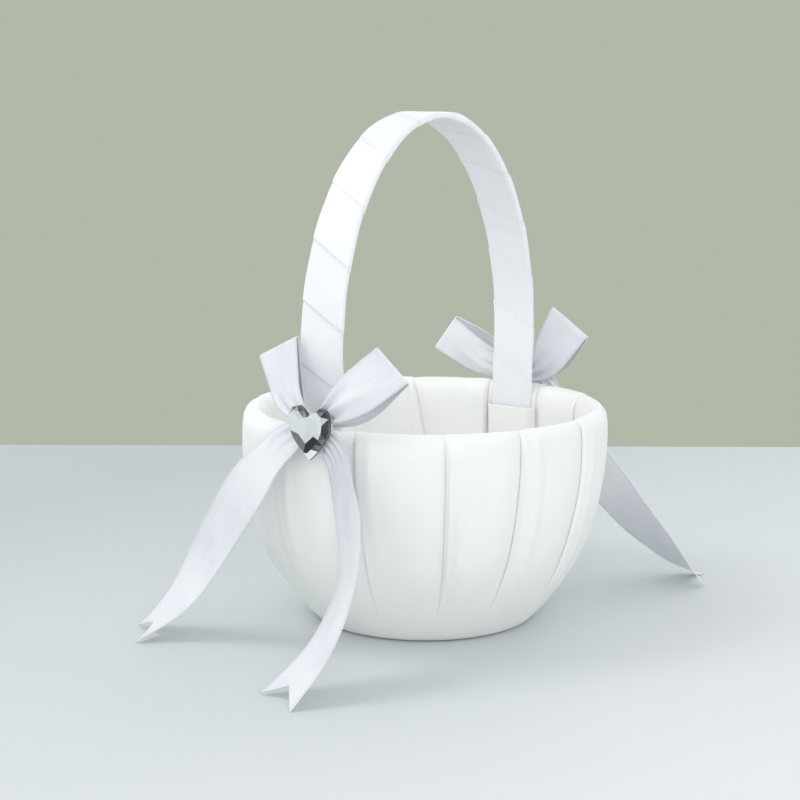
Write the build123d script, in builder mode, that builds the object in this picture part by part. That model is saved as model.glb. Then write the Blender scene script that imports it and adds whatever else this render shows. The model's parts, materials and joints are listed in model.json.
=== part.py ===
"""Flower girl basket: a padded, satin-covered bowl with one tall ribbon-wrapped handle and two ribbon bows.

Millimetres, +Z up. The origin is the centre of the underside, on the table. The handle's arch lies in the YZ
plane, with its flat strip facing outward at -Y (front) and +Y (back), where the bows sit on the rim.
"""

from build123d import *
from math import cos, radians, sin
import os

os.makedirs("parts", exist_ok=True)

# ---- driving dimensions -------------------------------------------------------------------------------------
# Bowl: its outside is part of an ellipsoid, widest at the belly, cut flat at the base.
belly_radius = 75.3
belly_height = 77.0
bowl_curve_depth = 96.6
rim_start = 80.0
rim_top = 89.0
core_rise = 4.0

# Wall layers, outside to inside, with a hair of air between neighbours.
air = 0.1
satin = 0.5
foam = 2.5
card = 1.8
cover_depth = 0.0
outer_foam_depth = cover_depth + satin + air
core_depth = outer_foam_depth + foam + air
inner_foam_depth = core_depth + card + air
lining_depth = inner_foam_depth + foam + air
wall = lining_depth + satin

# Bottom layers, from the table up.
base_cover_radius = 44.6
gathered_cover_width = 7.0
gathered_lining_width = 8.0
base_card_bottom = satin + air
cover_flange_bottom = base_card_bottom + card + air
core_bottom = cover_flange_bottom + satin + air
lining_flange_bottom = core_bottom + card + air
floor_card_bottom = lining_flange_bottom + satin + air
floor_cover_bottom = floor_card_bottom + card + air

# Handle: half an ellipse on two straight legs that lean in a little as they go down inside the rim.
handle_span = 67.4
handle_foot_span = 65.5
handle_rise = 94.0
handle_spring_height = 115.0
handle_foot = 62.0
strip_width = 19.5
strip_thickness = 2.0
wrap = 0.5
slit_room = 1.0

# Patch over each handle foot, and the staples under it.
pocket_width = 25.0
pocket_bottom = 57.0
pocket_top = 78.5
pocket_room = 1.0
staple_wire = 0.6
staple_crown = 10.0
staple_reach = 7.6
staple_heights = (67.0, 74.0)

# Ribbon tails: gathered where they leave the knot, full width a fifth of the way down.
ribbon_width = 22.0
ribbon_thickness = 0.6
notch_depth = 8.0
gathered_width = 15.0
tail_gather_share = 0.2
tail_sections = 10
tangent_step = 0.005

# Bows. A loop's side is a curve whose two middle control points are shares of its length and depth.
bow_distance = 80.0
knot_width = 9.0
knot_height = 11.0
knot_thickness = 5.6
knot_corner = 2.7
knot_rounding = 1.7
loop_root = 7.5
loop_root_fold = 3.0
loop_shoulder = (0.55, 0.5)
loop_end = (0.95, 0.62)
pinched_width = 8.0
loop_spread_share = 0.6
glue_width = 12.0
glue_height = 5.0
glue_bottom = 80.5

# Heart-shaped gems. The outline's control points are shares of its width and height.
gem_width = 18.8
gem_height = 19.7
gem_offset = 3.0
gem_thickness = 3.6
foil_thickness = 0.8
girdle_share = 0.3
table_share = 0.62
heart_lobe = ((0, 0.28), (0.16, 0.66), (0.62, 0.6), (0.5, 0.1))
heart_flank = ((0.5, 0.1), (0.44, -0.14), (0.16, -0.38), (0, -0.5))


# ---- the bowl's layers --------------------------------------------------------------------------------------
def wall_band(outer, inner, bottom, top):
    """Half section of one wall layer, in the active sketch: depths are measured in from the outside."""
    with Locations((0, belly_height)):
        Ellipse(belly_radius - outer, bowl_curve_depth - outer)
        Ellipse(belly_radius - inner, bowl_curve_depth - inner, mode=Mode.SUBTRACT)
    with Locations((0, bottom)):
        Rectangle(2 * belly_radius, top - bottom, align=(Align.MIN, Align.MIN), mode=Mode.INTERSECT)


def rim_roll(depth, mode=Mode.ADD):
    """Half section of the round rim, in the active sketch, shrunk by depth on every side."""
    half_wall = wall / 2
    with BuildSketch(mode=Mode.PRIVATE) as roll:
        with Locations((belly_radius - half_wall, rim_start)):
            Ellipse(half_wall - depth, rim_top - rim_start - depth)
        with Locations((0, rim_start)):
            Rectangle(2 * belly_radius, rim_top, align=(Align.MIN, Align.MIN), mode=Mode.INTERSECT)
    add(roll.sketch, mode=mode)


def flange(outer_radius, width, bottom):
    """Half section of the flat ring of satin gathered under a card disc, in the active sketch."""
    with Locations((outer_radius - width, bottom)):
        Rectangle(width, satin, align=(Align.MIN, Align.MIN))


def wall_radius(height, depth):
    """Radius of the bowl's surface at a height, depth millimetres in from the outside."""
    drop = (belly_height - height) / (bowl_curve_depth - depth)
    return (belly_radius - depth) * (1 - drop**2) ** 0.5


core_top = rim_start + core_rise
core_floor_radius = wall_radius(core_bottom + card, core_depth)

with BuildPart() as bowl_core:
    with BuildSketch(Plane.XZ):
        wall_band(core_depth, core_depth + card, core_bottom, rim_start)
        with Locations((belly_radius - core_depth - card, rim_start)):
            Rectangle(card, core_top - rim_start, align=(Align.MIN, Align.MIN))
        with Locations((0, core_bottom)):
            Rectangle(core_floor_radius - card, card, align=(Align.MIN, Align.MIN))
    revolve(axis=Axis.Z)
bowl_core.part.label = "bowl_core"
export_step(bowl_core.part, "parts/bowl_core.step")

with BuildPart() as outer_padding:
    with BuildSketch(Plane.XZ):
        wall_band(outer_foam_depth, outer_foam_depth + foam, core_bottom, rim_start)
    revolve(axis=Axis.Z)
outer_padding.part.label = "outer_padding"
export_step(outer_padding.part, "parts/outer_padding.step")

with BuildPart() as inner_padding:
    with BuildSketch(Plane.XZ):
        wall_band(inner_foam_depth, inner_foam_depth + foam, floor_card_bottom, rim_start)
    revolve(axis=Axis.Z)
inner_padding.part.label = "inner_padding"
export_step(inner_padding.part, "parts/inner_padding.step")

with BuildPart() as rim_padding:
    with BuildSketch(Plane.XZ):
        rim_roll(satin + air)
        with Locations((belly_radius - core_depth - card - air, 0)):
            Rectangle(card + 2 * air, core_top + air, align=(Align.MIN, Align.MIN), mode=Mode.SUBTRACT)
        Rectangle(2 * belly_radius, rim_start + air, align=(Align.MIN, Align.MIN), mode=Mode.SUBTRACT)
    revolve(axis=Axis.Z)
rim_padding.part.label = "rim_padding"
export_step(rim_padding.part, "parts/rim_padding.step")

with BuildPart() as outer_cover:
    with BuildSketch(Plane.XZ):
        wall_band(cover_depth, cover_depth + satin, cover_flange_bottom, rim_start + satin)
        rim_roll(0)
        rim_roll(satin, mode=Mode.SUBTRACT)
        flange(wall_radius(cover_flange_bottom, cover_depth), gathered_cover_width, cover_flange_bottom)
    revolve(axis=Axis.Z)
outer_cover.part.label = "outer_cover"
export_step(outer_cover.part, "parts/outer_cover.step")

lining_foot_radius = wall_radius(lining_flange_bottom, lining_depth)
slit_width = strip_width + 2 * wrap + slit_room

with BuildPart() as inner_lining:
    with BuildSketch(Plane.XZ):
        wall_band(lining_depth, lining_depth + satin, lining_flange_bottom, rim_start - air)
        flange(lining_foot_radius, gathered_lining_width, lining_flange_bottom)
    revolve(axis=Axis.Z)
    # The slits that the handle's legs pass through, front and back.
    with BuildSketch(Plane.XZ):
        with Locations((0, handle_foot - air)):
            Rectangle(slit_width, rim_start, align=(Align.CENTER, Align.MIN))
    extrude(amount=belly_radius, both=True, mode=Mode.SUBTRACT)
inner_lining.part.label = "inner_lining"
export_step(inner_lining.part, "parts/inner_lining.step")

floor_radius = wall_radius(floor_card_bottom, wall) - air

with BuildPart() as floor_card:
    with BuildSketch(Plane.XY.offset(floor_card_bottom)):
        Circle(floor_radius)
    extrude(amount=card)
floor_card.part.label = "floor_card"
export_step(floor_card.part, "parts/floor_card.step")

with BuildPart() as floor_cover:
    with BuildSketch(Plane.XY.offset(floor_cover_bottom)):
        Circle(floor_radius)
    extrude(amount=satin)
    fillet(floor_cover.edges().group_by(Axis.Z)[-1], radius=satin / 2)
floor_cover.part.label = "floor_cover"
export_step(floor_cover.part, "parts/floor_cover.step")

with BuildPart() as base_card:
    with BuildSketch(Plane.XY.offset(base_card_bottom)):
        Circle(base_cover_radius)
    extrude(amount=card)
base_card.part.label = "base_card"
export_step(base_card.part, "parts/base_card.step")

with BuildPart() as base_cover:
    with BuildSketch(Plane.XY):
        Circle(base_cover_radius)
    extrude(amount=satin)
base_cover.part.label = "base_cover"
export_step(base_cover.part, "parts/base_cover.step")


# ---- the handle ---------------------------------------------------------------------------------------------
def arch(depth, foot, mode=Mode.ADD):
    """Everything under the handle's arch, in the active sketch, shrunk by depth, down to the foot height."""
    span = handle_span - depth
    with BuildSketch(mode=Mode.PRIVATE) as under:
        with Locations((0, handle_spring_height)):
            Ellipse(span, handle_rise - depth)
            with Locations((0, 0)):
                Rectangle(2 * span, handle_rise, align=(Align.CENTER, Align.MAX), mode=Mode.SUBTRACT)
        foot_span = handle_foot_span - depth
        with BuildLine() as legs:
            Polyline(
                (-foot_span, foot),
                (foot_span, foot),
                (span, handle_spring_height),
                (-span, handle_spring_height),
                close=True,
            )
        make_face(legs.line)
    add(under.sketch, mode=mode)


wrapped_thickness = strip_thickness + 2 * wrap

with BuildPart() as handle_core:
    with BuildSketch(Plane.YZ):
        arch(wrap, handle_foot + wrap)
        arch(wrap + strip_thickness, handle_foot + wrap, mode=Mode.SUBTRACT)
    extrude(amount=strip_width / 2, both=True)
handle_core.part.label = "handle_core"
export_step(handle_core.part, "parts/handle_core.step")

with BuildPart() as handle_wrap:
    with BuildSketch(Plane.YZ):
        arch(0, handle_foot)
        arch(wrapped_thickness, handle_foot, mode=Mode.SUBTRACT)
    extrude(amount=strip_width / 2 + wrap, both=True)
    # The room for the strip inside the ribbon.
    with BuildSketch(Plane.YZ):
        arch(wrap - air / 2, handle_foot)
        arch(wrap + strip_thickness + air / 2, handle_foot, mode=Mode.SUBTRACT)
    extrude(amount=strip_width / 2 + air / 2, both=True, mode=Mode.SUBTRACT)
handle_wrap.part.label = "handle_wrap"
export_step(handle_wrap.part, "parts/handle_wrap.step")

leg_inside = handle_foot_span - wrapped_thickness
pocket_face = leg_inside - pocket_room

with BuildPart() as handle_pockets:
    # Two shallow trays of satin, open towards the wall and at the top.
    for side in (-1, 1):
        with BuildSketch(Plane.XY.offset(pocket_bottom)):
            with Locations((0, side * (pocket_face - satin))):
                tray_side = Align.MIN if side > 0 else Align.MAX
                Rectangle(pocket_width, wall, align=(Align.CENTER, tray_side))
        extrude(amount=pocket_top - pocket_bottom)
        with BuildSketch(Plane.XY.offset(pocket_bottom + satin)):
            with Locations((0, side * pocket_face)):
                Rectangle(pocket_width - 2 * satin, wall, align=(Align.CENTER, tray_side))
        extrude(amount=pocket_top - pocket_bottom, mode=Mode.SUBTRACT)
    # Cut back to the lining's surface.
    with BuildSketch(Plane.XZ):
        with Locations((0, belly_height)):
            Ellipse(belly_radius - wall - air, bowl_curve_depth - wall - air)
        Rectangle(2 * belly_radius, 2 * rim_top, align=(Align.MIN, Align.CENTER), mode=Mode.INTERSECT)
    revolve(axis=Axis.Z, mode=Mode.INTERSECT)
handle_pockets.part.label = "handle_pockets"
export_step(handle_pockets.part, "parts/handle_pockets.step")

with BuildPart() as handle_staples:
    # Crown against the leg's inner face, two prongs out through the strip into the core.
    crown_distance = leg_inside - air - staple_wire
    for side in (-1, 1):
        for height in staple_heights:
            with BuildSketch(Plane.XY.offset(height)):
                with Locations((0, side * crown_distance)):
                    inward = Align.MIN if side > 0 else Align.MAX
                    Rectangle(staple_crown, staple_wire + staple_reach, align=(Align.CENTER, inward))
                with Locations((0, side * (crown_distance + staple_wire))):
                    Rectangle(
                        staple_crown - 2 * staple_wire,
                        staple_reach,
                        align=(Align.CENTER, inward),
                        mode=Mode.SUBTRACT,
                    )
            extrude(amount=staple_wire)
handle_staples.part.label = "handle_staples"
export_step(handle_staples.part, "parts/handle_staples.step")


# ---- ribbon tails -------------------------------------------------------------------------------------------
def bezier(points, t):
    """The point at t on the curve of these control points, by repeated blending."""
    level = [Vector(*p) for p in points]
    while len(level) > 1:
        level = [a * (1 - t) + b * t for a, b in zip(level, level[1:])]
    return level[0]


def ribbon_frame(line, widths, t):
    """The plane across a ribbon at t: X along its width, Y through its thickness, Z along its length."""
    along = bezier(line, min(t + tangent_step, 1)) - bezier(line, max(t - tangent_step, 0))
    along = along.normalized()
    across = bezier(widths, t)
    across = (across - along * across.dot(along)).normalized()
    return Plane(origin=bezier(line, t), x_dir=across, z_dir=along)


def ribbon_tail(line, widths):
    """A hanging ribbon with a V-cut end, lofted through cross-sections along its middle line."""
    end = ribbon_frame(line, widths, 1)
    with BuildPart() as tail:
        for i in range(tail_sections + 1):
            t = i / tail_sections
            gather = min(t / tail_gather_share, 1)
            width = gathered_width + (ribbon_width - gathered_width) * gather
            with BuildSketch(ribbon_frame(line, widths, t)):
                Rectangle(width, ribbon_thickness)
        loft()
        # The notch is drawn flat on the ribbon's end, where local -Y points back up the ribbon.
        with BuildSketch(Plane(origin=end.origin, x_dir=end.x_dir, z_dir=-end.y_dir)):
            with BuildLine():
                Polyline((-ribbon_width / 2, 0), (0, -notch_depth), (ribbon_width / 2, 0), close=True)
            make_face()
        extrude(amount=notch_depth, both=True, mode=Mode.SUBTRACT)
    return tail


# Each tail's middle line (from the knot to the table) and the way its width points at start, middle and end.
front_left_line = [(-7, -81, 82), (-35, -91, 57), (-48, -76, 22), (-69, -100, 0.8)]
front_left_widths = [(0.66, -0.34, -0.57), (0.95, 0.0, -0.7), (0.72, -0.74, 0)]
front_right_line = [(18, -78, 78), (37, -89, 46), (40, -96, 24), (28, -126, 0.8)]
front_right_widths = [(0.79, -0.25, 0.57), (0.73, -0.65, 0.43), (0.95, -0.3, 0)]
back_right_line = [(4, 81, 80), (17, 98, 55), (53, 101, 15), (73, 113, 0.8)]
back_right_widths = [(-0.77, -0.31, -0.4), (-0.77, -0.04, -1.1), (-0.5, 0.85, 0)]
back_left_line = [(-12, 79, 79), (-30, 92, 48), (-33, 97, 24), (-26, 122, 0.8)]
back_left_widths = [(-0.8, 0.25, 0.5), (-0.75, 0.6, 0.4), (-0.95, 0.3, 0)]

front_left_tail = ribbon_tail(front_left_line, front_left_widths)
front_left_tail.part.label = "front_left_tail"
export_step(front_left_tail.part, "parts/front_left_tail.step")

front_right_tail = ribbon_tail(front_right_line, front_right_widths)
front_right_tail.part.label = "front_right_tail"
export_step(front_right_tail.part, "parts/front_right_tail.step")

back_right_tail = ribbon_tail(back_right_line, back_right_widths)
back_right_tail.part.label = "back_right_tail"
export_step(back_right_tail.part, "parts/back_right_tail.step")

back_left_tail = ribbon_tail(back_left_line, back_left_widths)
back_left_tail.part.label = "back_left_tail"
export_step(back_left_tail.part, "parts/back_left_tail.step")


# ---- bows ---------------------------------------------------------------------------------------------------
def teardrop(start, length, depth):
    """A closed loop in the active line: a point at the start and a round end."""
    shoulder = (length * loop_shoulder[0], depth * loop_shoulder[1])
    end = (length * loop_end[0], depth * loop_end[1])
    side = Bezier((start, 0), shoulder, end, (length, 0))
    mirror(side, about=Plane.XZ)


def bow_loop(knot, angle, length, end_width, depth, lean=0):
    """One closed loop of ribbon, narrow at the knot.

    angle is its direction seen from the front, depth how far it opens, and lean its tilt towards +Y.
    """
    level = cos(radians(lean))
    axis = Vector(level * cos(radians(angle)), sin(radians(lean)), level * sin(radians(angle)))
    across = Vector(0, 1, 0).cross(axis).normalized()
    full_from = length * loop_spread_share
    beyond = length + loop_root
    with BuildPart() as loop:
        with BuildSketch(Plane(origin=knot, x_dir=axis, z_dir=across)):
            with BuildLine():
                teardrop(loop_root, length, depth)
            make_face()
            with BuildLine():
                teardrop(loop_root + loop_root_fold, length - ribbon_thickness, depth - 2 * ribbon_thickness)
            make_face(mode=Mode.SUBTRACT)
        extrude(amount=end_width / 2, both=True)
        # The ribbon is pinched at the knot and spreads to its full width towards the loop's end.
        with BuildSketch(Plane(origin=knot, x_dir=axis, z_dir=axis.cross(across))):
            with BuildLine():
                Polyline(
                    (0, -pinched_width / 2),
                    (full_from, -end_width / 2),
                    (beyond, -end_width / 2),
                    (beyond, end_width / 2),
                    (full_from, end_width / 2),
                    (0, pinched_width / 2),
                    close=True,
                )
            make_face()
        extrude(amount=depth, both=True, mode=Mode.INTERSECT)
    return loop


def bow_knot(knot):
    """The pinched middle of the bow, a soft rounded block."""
    with BuildPart() as block:
        with BuildSketch(Plane(origin=knot, x_dir=(1, 0, 0), z_dir=(0, -1, 0))):
            RectangleRounded(knot_width, knot_height, knot_corner)
        extrude(amount=knot_thickness / 2, both=True)
        flat_faces = block.faces().filter_by(Axis.Y)
        fillet(flat_faces.edges(), radius=knot_rounding)
    return block


def glue_pad(knot, side):
    """Hot-melt glue between the knot and the rim, shaped to the rim."""
    with BuildPart() as pad:
        with BuildSketch(Plane.XY.offset(glue_bottom)):
            with Locations((knot[0], side * (bow_distance - knot_thickness / 2 - air))):
                outward = Align.MAX if side > 0 else Align.MIN
                Rectangle(glue_width, wall / 2, align=(Align.CENTER, outward))
            Circle(belly_radius + air, mode=Mode.SUBTRACT)
        extrude(amount=glue_height)
    return pad


def heart(width, height):
    """A heart outline in the active sketch, centred on its height, point down."""
    with BuildLine() as outline:
        lobe = Bezier(*[(width * x, height * y) for x, y in heart_lobe])
        flank = Bezier(*[(width * x, height * y) for x, y in heart_flank])
        mirror([lobe, flank], about=Plane.YZ)
    make_face(outline.line)


foil_back = bow_distance + knot_thickness / 2 + air
gem_back = foil_back + foil_thickness + air / 2


def heart_plane(knot, distance, side):
    """An upright plane facing out of the basket, level with the bow's knot and a little to the right of it."""
    right = -side
    origin = (knot[0] + right * gem_offset, side * distance, knot[2])
    return Plane(origin=origin, x_dir=(right, 0, 0), z_dir=(0, side, 0))


def heart_gem(knot, side):
    """The stone: a thin straight girdle and a crown that narrows to a flat table."""
    girdle_thickness = gem_thickness * girdle_share
    with BuildPart() as stone:
        with BuildSketch(heart_plane(knot, gem_back, side)):
            heart(gem_width, gem_height)
        extrude(amount=girdle_thickness)
        with BuildSketch(heart_plane(knot, gem_back + girdle_thickness, side)):
            heart(gem_width, gem_height)
        with BuildSketch(heart_plane(knot, gem_back + gem_thickness, side)):
            heart(gem_width * table_share, gem_height * table_share)
        loft()
    return stone


def heart_foil(knot, side):
    """The silver foil on the back of the stone."""
    with BuildPart() as foil:
        with BuildSketch(heart_plane(knot, foil_back, side)):
            heart(gem_width, gem_height)
        extrude(amount=foil_thickness)
    return foil


front_knot = (7, -bow_distance, 89.5)
back_knot = (-3, bow_distance, 91)

front_bow_left_loop = bow_loop(front_knot, angle=130, length=40, end_width=22, depth=9, lean=10)
front_bow_left_loop.part.label = "front_bow_left_loop"
export_step(front_bow_left_loop.part, "parts/front_bow_left_loop.step")

front_bow_right_loop = bow_loop(front_knot, angle=36, length=49, end_width=21, depth=14)
front_bow_right_loop.part.label = "front_bow_right_loop"
export_step(front_bow_right_loop.part, "parts/front_bow_right_loop.step")

front_bow_knot = bow_knot(front_knot)
front_bow_knot.part.label = "front_bow_knot"
export_step(front_bow_knot.part, "parts/front_bow_knot.step")

front_bow_glue = glue_pad(front_knot, -1)
front_bow_glue.part.label = "front_bow_glue"
export_step(front_bow_glue.part, "parts/front_bow_glue.step")

front_gem = heart_gem(front_knot, -1)
front_gem.part.label = "front_gem"
export_step(front_gem.part, "parts/front_gem.step")

front_gem_foil = heart_foil(front_knot, -1)
front_gem_foil.part.label = "front_gem_foil"
export_step(front_gem_foil.part, "parts/front_gem_foil.step")

back_bow_left_loop = bow_loop(back_knot, angle=158, length=46, end_width=20, depth=14)
back_bow_left_loop.part.label = "back_bow_left_loop"
export_step(back_bow_left_loop.part, "parts/back_bow_left_loop.step")

back_bow_right_loop = bow_loop(back_knot, angle=46, length=38, end_width=22, depth=12)
back_bow_right_loop.part.label = "back_bow_right_loop"
export_step(back_bow_right_loop.part, "parts/back_bow_right_loop.step")

back_bow_knot = bow_knot(back_knot)
back_bow_knot.part.label = "back_bow_knot"
export_step(back_bow_knot.part, "parts/back_bow_knot.step")

back_bow_glue = glue_pad(back_knot, 1)
back_bow_glue.part.label = "back_bow_glue"
export_step(back_bow_glue.part, "parts/back_bow_glue.step")

back_gem = heart_gem(back_knot, 1)
back_gem.part.label = "back_gem"
export_step(back_gem.part, "parts/back_gem.step")

back_gem_foil = heart_foil(back_knot, 1)
back_gem_foil.part.label = "back_gem_foil"
export_step(back_gem_foil.part, "parts/back_gem_foil.step")
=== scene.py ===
"""Flower girl basket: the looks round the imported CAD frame.

The object's lengths are in millimetres and MM turns them into Blender's metres. The stage, lamps and camera
are in metres. The origin is the centre of the bowl's underside, the handle's arch lies in the YZ plane, and
the front bow is at -Y.
"""

import json
import math

import bpy
import numpy as np
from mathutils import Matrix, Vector, noise
from mathutils.bvhtree import BVHTree


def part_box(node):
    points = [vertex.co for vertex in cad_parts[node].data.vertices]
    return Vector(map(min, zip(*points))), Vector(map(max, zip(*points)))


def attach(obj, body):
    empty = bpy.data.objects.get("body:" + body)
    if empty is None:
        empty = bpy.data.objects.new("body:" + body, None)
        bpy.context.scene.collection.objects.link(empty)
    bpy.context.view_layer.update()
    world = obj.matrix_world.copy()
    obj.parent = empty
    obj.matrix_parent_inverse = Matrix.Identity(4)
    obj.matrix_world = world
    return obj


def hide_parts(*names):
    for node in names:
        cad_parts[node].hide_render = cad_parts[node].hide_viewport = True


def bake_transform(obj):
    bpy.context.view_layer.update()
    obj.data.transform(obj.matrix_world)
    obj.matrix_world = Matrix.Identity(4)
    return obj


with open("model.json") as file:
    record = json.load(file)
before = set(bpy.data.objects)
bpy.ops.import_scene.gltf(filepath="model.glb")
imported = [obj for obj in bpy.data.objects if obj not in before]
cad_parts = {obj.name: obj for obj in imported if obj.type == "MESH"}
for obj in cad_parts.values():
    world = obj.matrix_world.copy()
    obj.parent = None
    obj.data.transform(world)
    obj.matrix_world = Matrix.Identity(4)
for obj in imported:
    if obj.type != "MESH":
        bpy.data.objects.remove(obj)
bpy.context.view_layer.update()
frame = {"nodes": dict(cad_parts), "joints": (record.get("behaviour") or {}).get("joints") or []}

MM = 0.001
nodes = frame["nodes"]
joints = {j["child"]: j for j in frame["joints"]}
mm_box = {n: [np.array(c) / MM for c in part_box(n)] for n in nodes}

# ---- sizes read from the frame ----
belly_radius, _, rim_top = mm_box["outer_cover"][1]
rim_start = mm_box["inner_lining"][1][2]
lining_bottom = mm_box["inner_lining"][0][2]
base_radius = mm_box["base_cover"][1][0]
base_top = mm_box["base_card"][1][2]
floor_radius, _, floor_top = mm_box["floor_cover"][1]
floor_bottom = mm_box["floor_cover"][0][2]
strip_half_width, handle_span, handle_apex = mm_box["handle_wrap"][1]
handle_foot = mm_box["handle_wrap"][0][2]
wrap_points = np.array([v.co for v in nodes["handle_wrap"].data.vertices]) / MM
handle_foot_span = wrap_points[wrap_points[:, 2] < handle_foot + 0.5][:, 1].max()
spring_height = wrap_points[wrap_points[:, 1] > handle_span - 0.01][:, 2].max()
front_knot = sum(mm_box["front_bow_knot"]) / 2
back_knot = sum(mm_box["back_bow_knot"]) / 2

# The bowl's walls are probed between these heights, along a line that meets no bow or handle leg.
probed_heights = (12, 74)
clear_angle = 0.3
far_outside = 200


def cad_tree(node):
    """Ray tree of a CAD node, in millimetres."""
    mesh = nodes[node].data
    points = [v.co / MM for v in mesh.vertices]
    return BVHTree.FromPolygons(points, [list(p.vertices) for p in mesh.polygons])


def wall_profile(node, outward):
    """Coefficients of radius squared against height, fitted to a CAD wall met from outside or inside."""
    tree = cad_tree(node)
    heights = np.linspace(*probed_heights, 32)
    squares = []
    for z in heights:
        way = Vector((math.cos(clear_angle), math.sin(clear_angle), 0))
        start = way * far_outside if outward else Vector((0, 0, 0))
        start.z = z
        hit = tree.ray_cast(start, -way if outward else way)[0]
        squares.append(hit.x**2 + hit.y**2)
    return np.polyfit(heights, squares, 2)


under_arch = cad_tree("handle_wrap").ray_cast(Vector((0, 0, spring_height)), Vector((0, 0, 1)))[0].z
strip_thickness = handle_apex - under_arch
outer_fit = wall_profile("outer_cover", True)
inner_fit = wall_profile("inner_lining", False)


def outer_radius(z):
    return math.sqrt(np.polyval(outer_fit, z))


def inner_radius(z):
    return math.sqrt(np.polyval(inner_fit, z))


# ---- small helpers ----
def smooth(a, b, x):
    """0 below a, 1 above b, and a smooth step between."""
    t = np.clip((x - a) / (b - a), 0, 1)
    return t * t * (3 - 2 * t)


def mix(a, b, t):
    return a + (b - a) * t


def unit(v):
    return v / max(np.linalg.norm(v), 1e-9)


def wander(x, y=0.0, seed=0.0):
    """Smooth noise from about -1 to 1."""
    return noise.noise(Vector((x, y, seed * 7.31 + 0.37)))


def run_along(line):
    """Distance along a polyline to each of its points."""
    return np.concatenate([[0], np.cumsum(np.linalg.norm(np.diff(line, axis=0), axis=1))])


def point_at(s, run, line):
    """The point at distance s along a polyline whose points lie at run."""
    return np.array([np.interp(s, run, axis) for axis in line.T])


def mesh_piece(name, points, faces, material, uv=None, flat=False):
    """A mesh object from points in millimetres. uv gives one (u, v) for each point, in millimetres."""
    mesh = bpy.data.meshes.new(name)
    mesh.from_pydata([tuple(float(c) * MM for c in p) for p in points], [], faces)
    mesh.update()
    if uv is not None:
        layer = mesh.uv_layers.new(name="cloth")
        for loop in mesh.loops:
            layer.data[loop.index].uv = tuple(uv[loop.vertex_index])
    mesh.polygons.foreach_set("use_smooth", [not flat] * len(mesh.polygons))
    mesh.materials.append(material)
    piece = bpy.data.objects.new(name, mesh)
    bpy.context.scene.collection.objects.link(piece)
    return piece


def grid_faces(rows, columns, closed=False, flip=False):
    """Quads of a grid whose point number is row * columns + column. A closed one's rows are rings."""
    faces = []
    for i in range(rows - 1):
        for j in range(columns if closed else columns - 1):
            k, m = i + 1, (j + 1) % columns
            quad = (i * columns + j, i * columns + m, k * columns + m, k * columns + j)
            faces.append(quad[::-1] if flip else quad)
    return faces


def tube_faces(rows, turns, flip=False):
    """Faces of a closed grid, with a cap over its first row and one over its last."""
    faces = grid_faces(rows, turns, closed=True, flip=flip)
    caps = [tuple(range(turns)), tuple(range((rows - 1) * turns, rows * turns))]
    order = 1 if flip else -1
    return faces + [caps[0][::order], caps[1][::-order]]


def dress(piece, replaced=None):
    """Puts a piece in place of a CAD node and rides it on the basket."""
    if replaced:
        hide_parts(replaced)
    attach(piece, "basket")


def thicken(piece, thickness):
    """Gives a sheet real thickness about its own surface."""
    solid = piece.modifiers.new("thickness", "SOLIDIFY")
    solid.thickness = thickness * MM
    solid.offset = 0
    solid.use_even_offset = False


# ---- materials ----
class Nodes:
    """Shorthand for building the node tree of a material or a world."""

    def __init__(self, name, owners=bpy.data.materials, shader="Principled BSDF"):
        self.owner = owners.new(name)
        self.owner.use_nodes = True
        self.tree = self.owner.node_tree
        self.shader = self.tree.nodes[shader]

    def add(self, kind, inputs=None, **settings):
        node = self.tree.nodes.new("ShaderNode" + kind)
        for key, value in settings.items():
            setattr(node, key, value)
        for key, value in (inputs or {}).items():
            self.put(node.inputs[key], value)
        return node

    def put(self, socket, value):
        if isinstance(value, bpy.types.NodeSocket):
            self.tree.links.new(value, socket)
        elif isinstance(value, bpy.types.Node):
            self.tree.links.new(value.outputs[0], socket)
        else:
            socket.default_value = value

    def math(self, operation, a, b=0.0, c=0.0):
        return self.add("Math", {0: a, 1: b, 2: c}, operation=operation).outputs[0]

    def ramp(self, value, *stops):
        """Colour ramp with (position, grey or colour) stops."""
        node = self.add("ValToRGB", {0: value})
        ramp = node.color_ramp
        while len(ramp.elements) < len(stops):
            ramp.elements.new(0.5)
        for element, (position, colour) in zip(ramp.elements, stops):
            element.position = position
            element.color = colour if len(colour) == 4 else (*colour, 1)
        return node.outputs[0]

    def fade(self, value, low, high, top=1.0):
        """Grey that rises from nothing at low to top at high."""
        return self.ramp(value, (low, grey(0)), (high, grey(top)))

    def wave(self, value, pitch):
        """Sine that repeats at each pitch."""
        return self.math("SINE", self.math("MULTIPLY", value, 2 * math.pi / pitch))

    def blend(self, share, a, b):
        """Colour a where share is 0 and colour b where it is 1."""
        node = self.add("Mix", {0: share}, data_type="RGBA")
        self.put(node.inputs[6], a)
        self.put(node.inputs[7], b)
        return node.outputs[2]

    def set(self, **values):
        """Fills the main shader's inputs, with _ for each space in their names."""
        for key, value in values.items():
            self.put(self.shader.inputs[key.replace("_", " ")], value)

    def bump(self, height, strength, distance_mm, normal=None):
        inputs = {"Height": height, "Strength": strength, "Distance": distance_mm * MM}
        if normal is not None:
            inputs["Normal"] = normal
        return self.add("Bump", inputs).outputs[0]


def grey(value):
    return (value, value, value, 1)


# Sizes of the weave, and of the dots woven along both edges of the ribbon.
weave_pitch = 0.42
dot_pitch = 1.25
dots_from_edge = 0.62
dot_half_height = 0.32


def darker(colour, share):
    return tuple(c * share for c in colour[:3]) + (1,)


def weave(n, u, v, pitch_mm):
    """Height of a fine satin weave: long floats one way, broken by short steps the other way."""
    along = n.wave(u, pitch_mm)
    across = n.wave(v, pitch_mm * 1.7)
    return n.math("ADD", n.math("MULTIPLY", along, 0.35), n.math("MULTIPLY", across, 0.65))


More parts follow.
